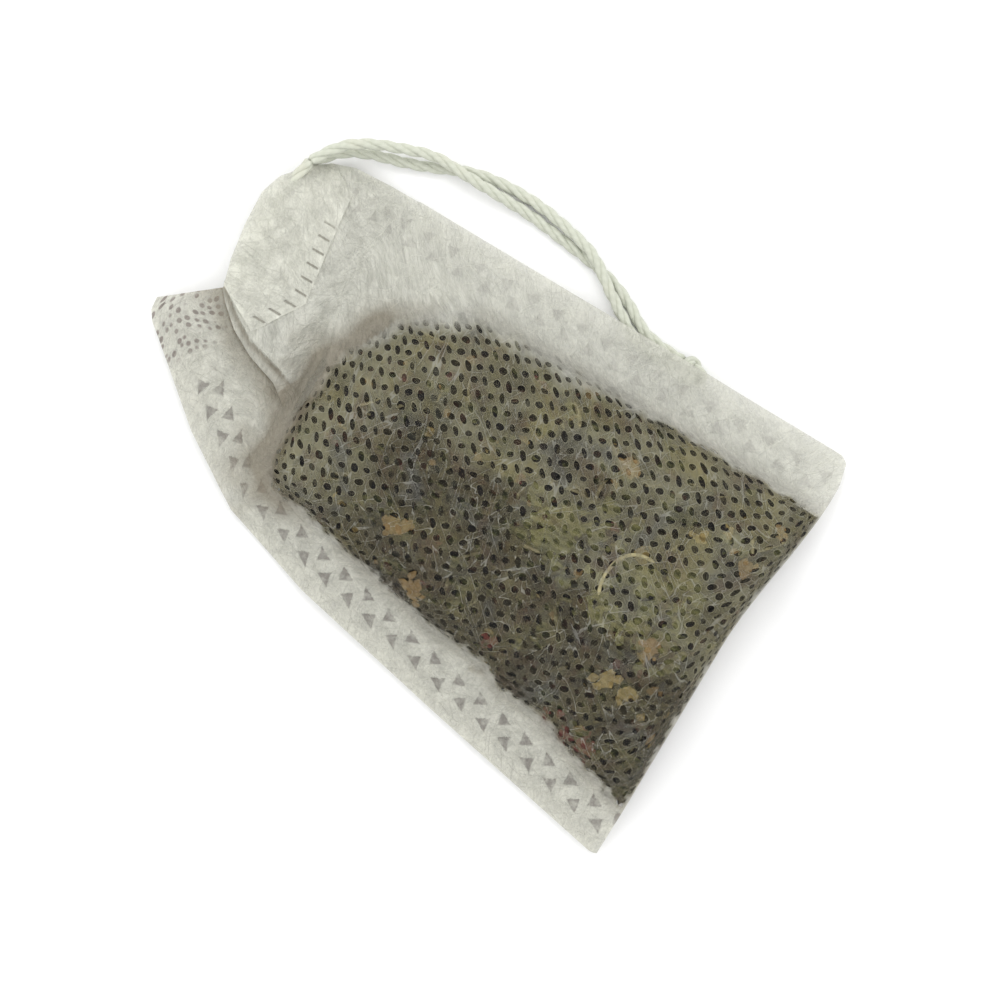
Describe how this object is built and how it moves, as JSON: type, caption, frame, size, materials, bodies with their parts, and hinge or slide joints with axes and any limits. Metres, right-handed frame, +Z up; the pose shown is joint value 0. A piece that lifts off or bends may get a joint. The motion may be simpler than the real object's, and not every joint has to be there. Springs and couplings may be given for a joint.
{
  "type": "drawstring herb pouch",
  "caption": "Small flat non-woven pouch filled with dried herbs, heat-sealed at both sides, with a half-drawn mouth and a twisted cotton pull loop that ends in a knot.",
  "frame": {"origin": "centre of the pouch's footprint, on the surface that it lies on, without the free pull loop", "axes": "+X to the pouch's right-hand side, where the pull loop leaves; +Y from the bottom fold to the mouth; +Z up through the front sheet"},
  "size_m": [0.0563, 0.07, 0.0096],
  "materials": {
    "nonwoven": "matte",
    "welded_nonwoven": "matte",
    "cotton_string": "matte",
    "fine_herb": "matte",
    "green_leaf": "matte",
    "dark_leaf": "matte",
    "grey_leaf": "matte",
    "yellow_petal": "matte",
    "red_petal": "matte",
    "orange_peel": "matte",
    "bark": "matte",
    "stem": "matte",
    "seed": "satin"
  },
  "bodies": {
    "pouch": {"front_sheet": "nonwoven", "back_sheet": "nonwoven", "left_side_seal": "welded_nonwoven", "right_side_seal": "welded_nonwoven", "bottom_fold": "nonwoven", "front_hem": "nonwoven", "back_hem": "nonwoven", "herb_bed": "fine_herb", "green_leaf_flakes": "green_leaf", "dark_leaf_flakes": "dark_leaf", "grey_leaf_flakes": "grey_leaf", "yellow_petals": "yellow_petal", "red_petals": "red_petal", "orange_peel_chips": "orange_peel", "bark_chips": "bark", "stem_pieces": "stem", "seeds": "seed"},
    "gathered_corner": {"gathered_corner_front": "nonwoven", "gathered_corner_back": "nonwoven", "gathered_corner_seal": "welded_nonwoven"},
    "drawstring": {"drawstring_in_hem": "cotton_string"},
    "pull_loop": {"pull_strand_outer": "cotton_string", "pull_strand_inner": "cotton_string", "pull_knot": "cotton_string"}
  },
  "joints": [
    {"name": "drawstring_pull", "type": "slide", "parent": "pouch", "child": "drawstring", "axis": [1, 0, 0], "range_m": [0, 0.008]},
    {"name": "mouth_gather", "type": "slide", "parent": "pouch", "child": "gathered_corner", "axis": [1, 0, 0], "range_m": [0, 0.008]},
    {"name": "loop_swing", "type": "hinge", "parent": "drawstring", "child": "pull_loop", "pos_m": [0.0225, 0.0284, 0.0034], "axis": [0, 0, 1], "range_deg": [0, 75]}
  ],
  "couplings": [
    {"joint": "mouth_gather", "follows": "drawstring_pull", "ratio": 1}
  ]
}
